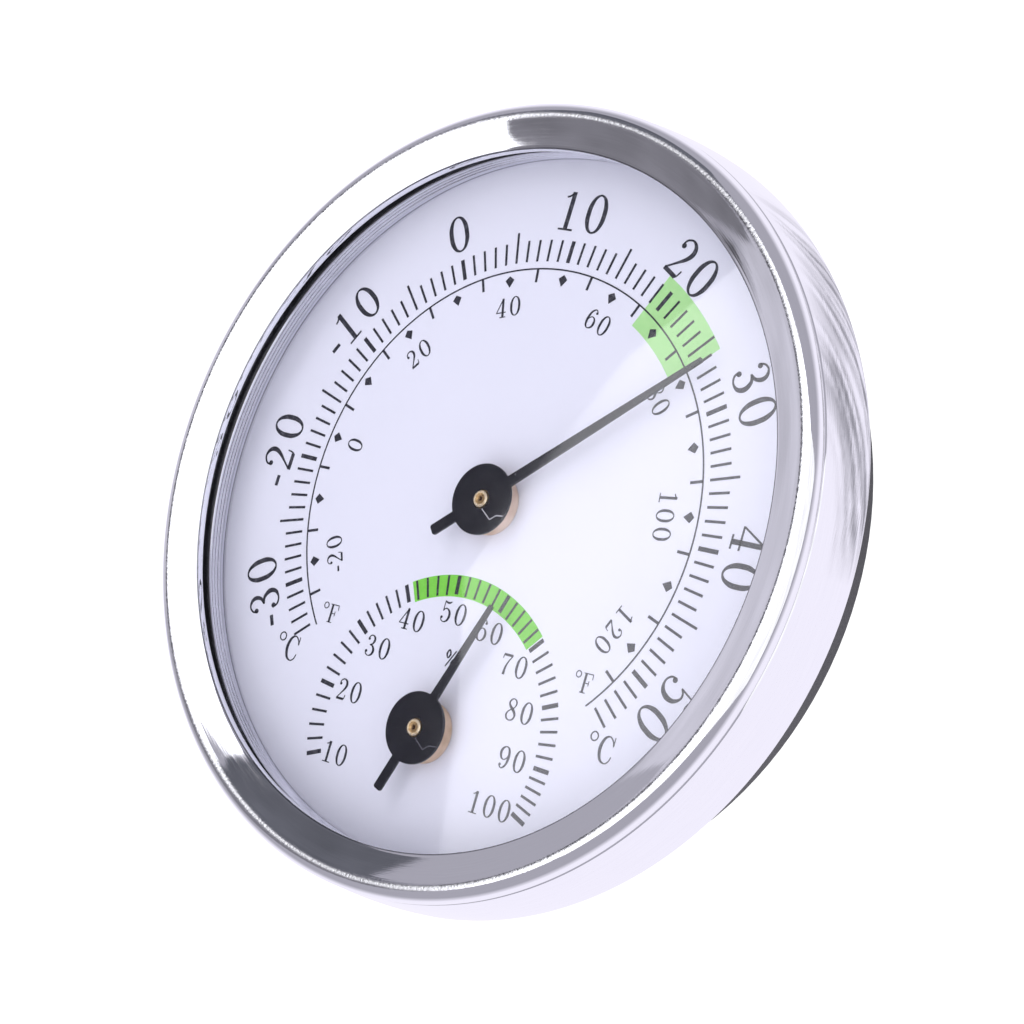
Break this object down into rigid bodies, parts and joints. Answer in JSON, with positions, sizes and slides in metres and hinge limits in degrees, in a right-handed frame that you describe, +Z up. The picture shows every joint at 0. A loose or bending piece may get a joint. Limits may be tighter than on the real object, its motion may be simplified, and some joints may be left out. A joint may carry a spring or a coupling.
{
  "type": "dial hygrometer",
  "caption": "Round wall thermometer-hygrometer in a polished metal case, with a large temperature pointer and a smaller humidity pointer behind a flat pane.",
  "frame": {"origin": "centre of the rear cover's flat back face, which lies on the wall, straight behind the temperature pointer's axis", "axes": "+Y into the wall, so the dial faces -Y; +Z up the dial; +X to the right as the dial is read"},
  "size_m": [0.072, 0.0148, 0.072],
  "materials": {
    "bezel_aluminium": "bright turned and polished, with fine circular tool marks",
    "lens_glass": "clear flat pane",
    "ring_chrome": "bright",
    "dial_print": "white lacquer with printed scales, semi-matt",
    "plated_steel": "zinc plated",
    "spring_steel": "oiled",
    "bimetal_strip": "rolled copper-faced strip",
    "laminate_strip": "moisture-sensitive film on foil",
    "brass": "turned",
    "needle_lacquer": "gloss black",
    "cover_plastic": "fine spark texture"
  },
  "bodies": {
    "case": {"bezel_shell": "bezel_aluminium", "lens": "lens_glass", "spacer_ring": "ring_chrome", "dial_plate": "dial_print", "movement_plate": "plated_steel", "rear_cover": "cover_plastic", "thermometer_bush": "brass", "thermometer_spring_washer": "spring_steel", "hygrometer_bush": "brass", "hygrometer_spring_washer": "spring_steel"},
    "thermometer_adjuster": {"thermometer_axle": "brass", "thermometer_retaining_clip": "spring_steel", "thermometer_coil": "bimetal_strip"},
    "thermometer_pointer": {"thermometer_pointer_washer": "brass", "thermometer_pointer": "needle_lacquer"},
    "hygrometer_adjuster": {"hygrometer_axle": "brass", "hygrometer_retaining_clip": "spring_steel", "hygrometer_coil": "laminate_strip"},
    "hygrometer_pointer": {"hygrometer_pointer_washer": "brass", "hygrometer_pointer": "needle_lacquer"}
  },
  "joints": [
    {"name": "thermometer_adjuster_turn", "type": "hinge", "parent": "case", "child": "thermometer_adjuster", "pos_m": [0, -0.0055, 0], "axis": [0, 1, 0], "range_deg": [-10, 10]},
    {"name": "thermometer_pointer_turn", "type": "hinge", "parent": "thermometer_adjuster", "child": "thermometer_pointer", "pos_m": [0, -0.0055, 0], "axis": [0, 1, 0], "range_deg": [-180.9, 80.8], "stiffness_Nm_per_rad": 0.0003},
    {"name": "hygrometer_adjuster_turn", "type": "hinge", "parent": "case", "child": "hygrometer_adjuster", "pos_m": [0, -0.0055, -0.0206], "axis": [0, 1, 0], "range_deg": [-10, 10]},
    {"name": "hygrometer_pointer_turn", "type": "hinge", "parent": "hygrometer_adjuster", "child": "hygrometer_pointer", "pos_m": [0, -0.0055, -0.0206], "axis": [0, 1, 0], "range_deg": [-131.5, 91.5], "stiffness_Nm_per_rad": 0.0003}
  ]
}
